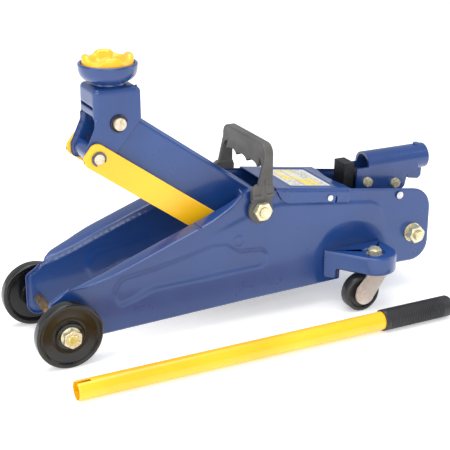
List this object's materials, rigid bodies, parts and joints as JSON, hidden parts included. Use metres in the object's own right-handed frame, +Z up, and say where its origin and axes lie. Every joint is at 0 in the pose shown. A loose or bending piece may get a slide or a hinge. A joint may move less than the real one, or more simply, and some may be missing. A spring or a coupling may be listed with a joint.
{
  "type": "hydraulic trolley jack",
  "caption": "Low hydraulic trolley jack with a parallelogram lift arm, level saddle head, rear casters, carrying handle and a loose pump handle.",
  "frame": {"origin": "centre of the whole footprint (jack with the loose pump handle beside it), on the floor", "axes": "+X to the rear, where the handle socket is; +Z up; the side towards -Y is the left side of the jack and has the loose handle beside it"},
  "size_m": [0.467, 0.216, 0.2849],
  "materials": {
    "blue_paint": "gloss",
    "yellow_paint": "semi-gloss",
    "black_wheel": "gloss",
    "gold_zinc": "yellow passivated",
    "bright_steel": "satin",
    "nickel_steel": "satin",
    "black_caster": "matte",
    "grey_plastic": "matte",
    "black_vinyl": "satin",
    "cast_black": "painted",
    "label": "gloss"
  },
  "bodies": {
    "frame": {"side_plate_left": "blue_paint", "side_plate_right": "blue_paint", "base_plate": "blue_paint", "rear_tie_tube": "blue_paint", "rear_tie_bolt": "gold_zinc", "rear_tie_nuts": "gold_zinc", "rear_tie_washers": "gold_zinc", "front_axle": "gold_zinc", "front_axle_spacers": "gold_zinc", "front_axle_washers": "gold_zinc", "front_axle_nuts": "gold_zinc", "lift_arm_shaft": "gold_zinc", "lift_arm_shaft_nuts": "gold_zinc", "link_rear_pins": "blue_paint", "top_cover": "blue_paint", "cover_label": "label", "cover_screws": "bright_steel", "caster_bracket_left": "blue_paint", "caster_bracket_right": "blue_paint", "caster_kingpins": "gold_zinc", "caster_kingpin_nuts": "gold_zinc", "pump_block": "cast_black", "hydraulic_cylinder": "cast_black", "gland_nut": "bright_steel", "filler_plug": "bright_steel"},
    "lift_arm": {"lift_arm": "blue_paint", "lever_pin": "bright_steel"},
    "lever_roller": {"lever_roller": "bright_steel"},
    "head": {"head_bracket": "blue_paint", "head_pin": "nickel_steel", "head_pin_clips": "cast_black", "saddle_cup": "blue_paint", "link_front_pin": "bright_steel", "link_front_clips": "bright_steel"},
    "saddle_pad": {"saddle_pad": "yellow_paint"},
    "link_left": {"link_left": "yellow_paint"},
    "link_right": {"link_right": "yellow_paint"},
    "front_wheel_left": {"front_wheel_left": "black_wheel"},
    "front_wheel_right": {"front_wheel_right": "black_wheel"},
    "caster_left": {"caster_fork_left": "nickel_steel", "caster_axle_left": "nickel_steel"},
    "caster_right": {"caster_fork_right": "nickel_steel", "caster_axle_right": "nickel_steel"},
    "caster_wheel_left": {"caster_wheel_left": "black_caster"},
    "caster_wheel_right": {"caster_wheel_right": "black_caster"},
    "ram": {"ram": "bright_steel", "ram_head": "bright_steel"},
    "pump_plunger": {"pump_plunger": "bright_steel"},
    "release_valve": {"release_valve": "gold_zinc"},
    "handle_socket": {"handle_socket": "blue_paint", "socket_bolts": "gold_zinc", "socket_nuts": "gold_zinc"},
    "plunger_roller": {"plunger_roller": "bright_steel"},
    "carry_handle": {"carry_handle": "grey_plastic"},
    "pump_handle": {"pump_handle_tube": "yellow_paint", "pump_handle_grip": "black_vinyl"}
  },
  "joints": [
    {"name": "arm_lift", "type": "hinge", "parent": "frame", "child": "lift_arm", "pos_m": [0.0085, 0.021, 0.1215], "axis": [0, 1, 0], "range_deg": [-54, 19]},
    {"name": "head_level", "type": "hinge", "parent": "lift_arm", "child": "head", "pos_m": [-0.13199, 0.021, 0.22245], "axis": [0, 1, 0], "range_deg": [-19, 54]},
    {"name": "link_left_swing", "type": "hinge", "parent": "frame", "child": "link_left", "pos_m": [-0.0145, -0.004, 0.0915], "axis": [0, 1, 0], "range_deg": [-54, 19]},
    {"name": "link_right_swing", "type": "hinge", "parent": "frame", "child": "link_right", "pos_m": [-0.0145, 0.046, 0.0915], "axis": [0, 1, 0], "range_deg": [-54, 19]},
    {"name": "lever_roller_spin", "type": "hinge", "parent": "lift_arm", "child": "lever_roller", "pos_m": [-0.00112, 0.021, 0.09098], "axis": [0, 1, 0], "continuous": true},
    {"name": "saddle_spin", "type": "hinge", "parent": "head", "child": "saddle_pad", "pos_m": [-0.13349, 0.021, 0.25645], "axis": [0, 0, 1], "continuous": true},
    {"name": "ram_stroke", "type": "slide", "parent": "frame", "child": "ram", "axis": [-1, 0, 0], "range_m": [-0.0283, 0.01]},
    {"name": "front_wheel_left_spin", "type": "hinge", "parent": "frame", "child": "front_wheel_left", "pos_m": [-0.2005, -0.0323, 0.033], "axis": [0, 1, 0], "continuous": true},
    {"name": "front_wheel_right_spin", "type": "hinge", "parent": "frame", "child": "front_wheel_right", "pos_m": [-0.2005, 0.0743, 0.033], "axis": [0, 1, 0], "continuous": true},
    {"name": "caster_left_swivel", "type": "hinge", "parent": "frame", "child": "caster_left", "pos_m": [0.134, -0.043, 0.05], "axis": [0, 0, 1], "continuous": true},
    {"name": "caster_left_roll", "type": "hinge", "parent": "caster_left", "child": "caster_wheel_left", "pos_m": [0.1185, -0.043, 0.02], "axis": [0, 1, 0], "continuous": true},
    {"name": "caster_right_swivel", "type": "hinge", "parent": "frame", "child": "caster_right", "pos_m": [0.134, 0.085, 0.05], "axis": [0, 0, 1], "continuous": true},
    {"name": "caster_right_roll", "type": "hinge", "parent": "caster_right", "child": "caster_wheel_right", "pos_m": [0.1185, 0.085, 0.02], "axis": [0, 1, 0], "continuous": true},
    {"name": "handle_rock", "type": "hinge", "parent": "frame", "child": "handle_socket", "pos_m": [0.1535, 0.021, 0.1215], "axis": [0, -1, 0], "range_deg": [-8, 32]},
    {"name": "plunger_roller_spin", "type": "hinge", "parent": "handle_socket", "child": "plunger_roller", "pos_m": [0.1895, 0.021, 0.1155], "axis": [0, 1, 0], "continuous": true},
    {"name": "plunger_stroke", "type": "slide", "parent": "frame", "child": "pump_plunger", "axis": [0, 0, 1], "range_m": [-0.005, 0.019]},
    {"name": "release_turn", "type": "hinge", "parent": "frame", "child": "release_valve", "pos_m": [0.1795, 0.037, 0.072], "axis": [1, 0, 0], "range_deg": [0, 180]},
    {"name": "carry_handle_fold", "type": "hinge", "parent": "frame", "child": "carry_handle", "pos_m": [0.0085, 0.021, 0.1215], "axis": [0, 1, 0], "range_deg": [-5, 53]},
    {"name": "pump_handle_lift", "type": "slide", "parent": "frame", "child": "pump_handle", "axis": [0, 0, 1], "range_m": [0, 0.12]}
  ],
  "couplings": [
    {"joint": "head_level", "follows": "arm_lift", "ratio": -1},
    {"joint": "link_left_swing", "follows": "arm_lift", "ratio": 1},
    {"joint": "link_right_swing", "follows": "arm_lift", "ratio": 1},
    {"joint": "ram_stroke", "follows": "arm_lift", "m_per_rad": 0.02988},
    {"joint": "plunger_stroke", "follows": "handle_rock", "m_per_rad": 0.0328}
  ]
}
